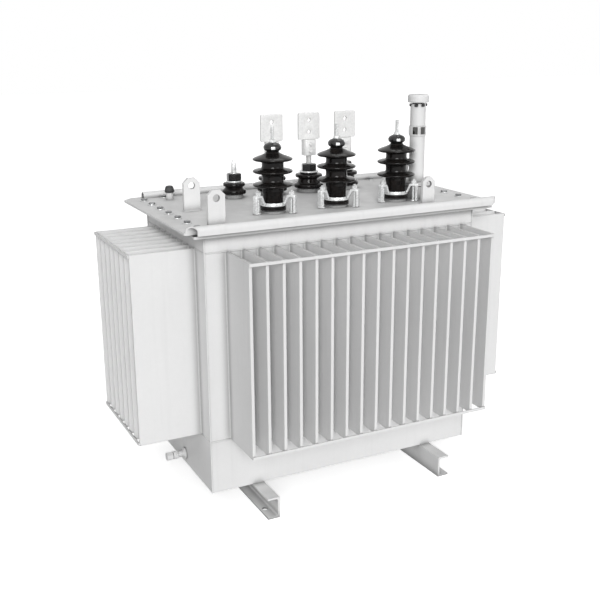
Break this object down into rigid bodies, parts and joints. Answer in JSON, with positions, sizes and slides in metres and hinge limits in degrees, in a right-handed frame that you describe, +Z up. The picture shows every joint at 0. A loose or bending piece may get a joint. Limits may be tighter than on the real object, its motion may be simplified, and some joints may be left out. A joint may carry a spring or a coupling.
{
  "type": "power transformer",
  "caption": "Sealed oil-filled distribution transformer with corrugated tank walls, porcelain bushings, a filling pipe and base channels.",
  "frame": {"origin": "on the floor under the centre of the tank, midway between the base channels", "axes": "+X along the long side, +Y from the high-voltage front to the low-voltage back, +Z up"},
  "size_m": [1.355, 0.876, 1.252],
  "materials": {
    "tank_paint": "satin light grey paint",
    "cap_paint": "satin light grey paint",
    "valve_paint": "satin light grey paint",
    "porcelain": "dark glaze",
    "hv_metal": "dark cap, zinc-plated stud",
    "claw_metal": "zinc plated",
    "lv_metal": "tinned",
    "gasket": "matt",
    "pocket_cap": "matt black",
    "core_steel": "bare laminations and wound coils, hidden in the tank",
    "gauge": "satin with a dark window"
  },
  "bodies": {
    "root": {"back_fin_bars": "tank_paint", "back_wall": "tank_paint", "base_channel_left": "tank_paint", "base_channel_right": "tank_paint", "bushing_seats": "tank_paint", "core_and_coils": "core_steel", "cover": "tank_paint", "cover_gasket": "gasket", "cover_lug_left": "tank_paint", "cover_lug_right": "tank_paint", "drain_valve": "valve_paint", "filler_cap": "cap_paint", "filler_neck": "tank_paint", "filler_pipe": "tank_paint", "front_fin_bars": "tank_paint", "front_wall": "tank_paint", "hv_bushing_1": "porcelain", "hv_bushing_2": "porcelain", "hv_bushing_3": "porcelain", "hv_claws_1": "claw_metal", "hv_claws_2": "claw_metal", "hv_claws_3": "claw_metal", "hv_terminal_1": "hv_metal", "hv_terminal_2": "hv_metal", "hv_terminal_3": "hv_metal", "left_fin_bars": "tank_paint", "left_wall": "tank_paint", "lifting_lug_left": "tank_paint", "lifting_lug_right": "tank_paint", "lv_bushing_a": "porcelain", "lv_bushing_b": "porcelain", "lv_bushing_c": "porcelain", "lv_bushing_n": "porcelain", "lv_terminal_a": "lv_metal", "lv_terminal_b": "lv_metal", "lv_terminal_c": "lv_metal", "lv_terminal_n": "lv_metal", "oil_gauge": "gauge", "pocket_cap": "pocket_cap", "right_fin_bars": "tank_paint", "right_wall": "tank_paint", "tank_floor": "tank_paint", "thermometer_pocket": "tank_paint", "top_flange": "tank_paint"}
  },
  "joints": []
}
